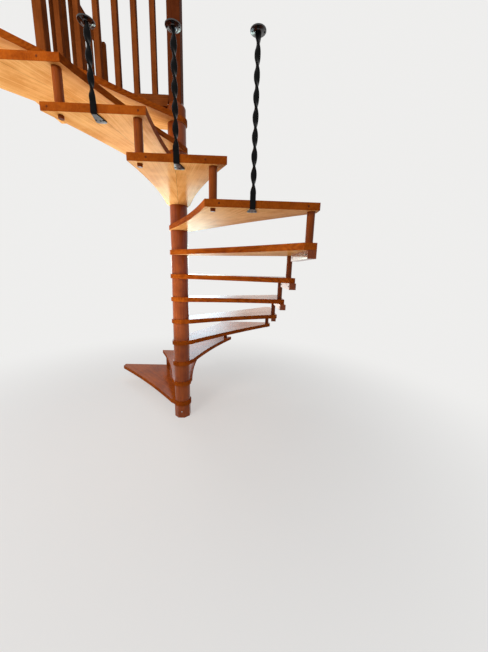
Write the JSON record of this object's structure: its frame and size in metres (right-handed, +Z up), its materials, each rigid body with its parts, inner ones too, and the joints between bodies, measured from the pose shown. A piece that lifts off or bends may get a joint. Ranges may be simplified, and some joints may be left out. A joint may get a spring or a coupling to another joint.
{
  "type": "spiral staircase",
  "caption": "Square plan spiral stair of varnished wood on a round column, with spindles at the outer ends, twisted iron hangers and a baluster guard round the top.",
  "frame": {"origin": "centre of the column's foot, on the floor", "axes": "+Z up along the column, +X towards the wall side, -Y towards the open front; the stair climbs clockwise seen from above and leaves at the top towards -X"},
  "size_m": [1.8955, 1.862, 3.595],
  "materials": {
    "tread_wood": "gloss varnish",
    "column_wood": "gloss varnish",
    "guard_wood": "satin varnish",
    "black_iron": "black paint, half gloss",
    "rod_steel": "plain"
  },
  "bodies": {
    "root": {"column_plinth": "column_wood", "column_spacers": "column_wood", "column_rod": "rod_steel", "column_cap": "column_wood", "column_post": "guard_wood", "tread_01": "tread_wood", "tread_02": "tread_wood", "tread_03": "tread_wood", "tread_04": "tread_wood", "tread_05": "tread_wood", "tread_06": "tread_wood", "tread_07": "tread_wood", "tread_08": "tread_wood", "tread_09": "tread_wood", "tread_10": "tread_wood", "tread_11": "tread_wood", "tread_12": "tread_wood", "top_step": "tread_wood", "spindles": "column_wood", "hanger_left": "black_iron", "hanger_middle": "black_iron", "hanger_right": "black_iron", "hanger_plates": "black_iron", "wall_cleats": "column_wood", "gallery_bottom_rail": "guard_wood", "gallery_balusters": "guard_wood", "gallery_handrail": "guard_wood", "gallery_newel": "guard_wood", "return_bottom_rail": "guard_wood", "return_balusters": "guard_wood", "return_handrail": "guard_wood", "return_wall_newel": "guard_wood"}
  },
  "joints": []
}
